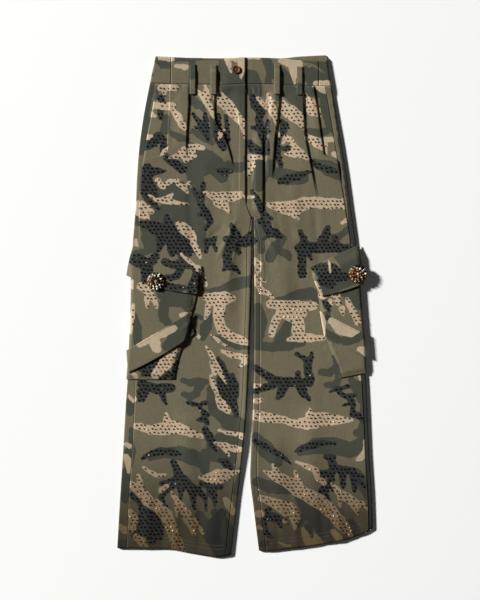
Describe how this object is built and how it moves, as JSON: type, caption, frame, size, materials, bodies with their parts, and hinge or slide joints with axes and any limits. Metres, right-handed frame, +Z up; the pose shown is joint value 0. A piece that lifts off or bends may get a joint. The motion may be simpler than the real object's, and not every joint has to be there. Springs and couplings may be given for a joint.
{
  "type": "wide-leg cargo trousers, laid flat",
  "caption": "Wide-leg pleated cargo trousers in camouflage twill, laid face up, with flap pockets, belt loops, a waist button and round stone brooches.",
  "frame": {"origin": "on the surface that the garment lies on, under the middle of its outline", "axes": "+Z up from the surface, +Y from the hems to the waist, +X to the wearer's left, which is the right of the front seen from above"},
  "size_m": [0.5498, 1.0795, 0.0206],
  "materials": {
    "camo_twill": "matt cotton twill with a four-colour camouflage print",
    "crystal": "faceted glass stones, clear, topaz and dark",
    "antique_brass": "worn antique brass"
  },
  "bodies": {
    "root": {"waistband_back": "camo_twill", "waistband_front_right": "camo_twill", "waistband_front_left": "camo_twill", "back_panel_right": "camo_twill", "back_panel_left": "camo_twill", "front_panel_right": "camo_twill", "front_panel_left": "camo_twill", "pocket_facing_right": "camo_twill", "pocket_facing_left": "camo_twill", "cargo_pocket_right": "camo_twill", "cargo_pocket_left": "camo_twill", "pocket_flap_right": "camo_twill", "pocket_flap_left": "camo_twill", "pocket_strap_right": "camo_twill", "pocket_strap_left": "camo_twill", "belt_loop_right_outer": "camo_twill", "belt_loop_right_inner": "camo_twill", "belt_loop_left_inner": "camo_twill", "belt_loop_left_outer": "camo_twill", "brooch_right": "crystal", "brooch_left": "crystal", "waist_button": "antique_brass"}
  },
  "joints": []
}
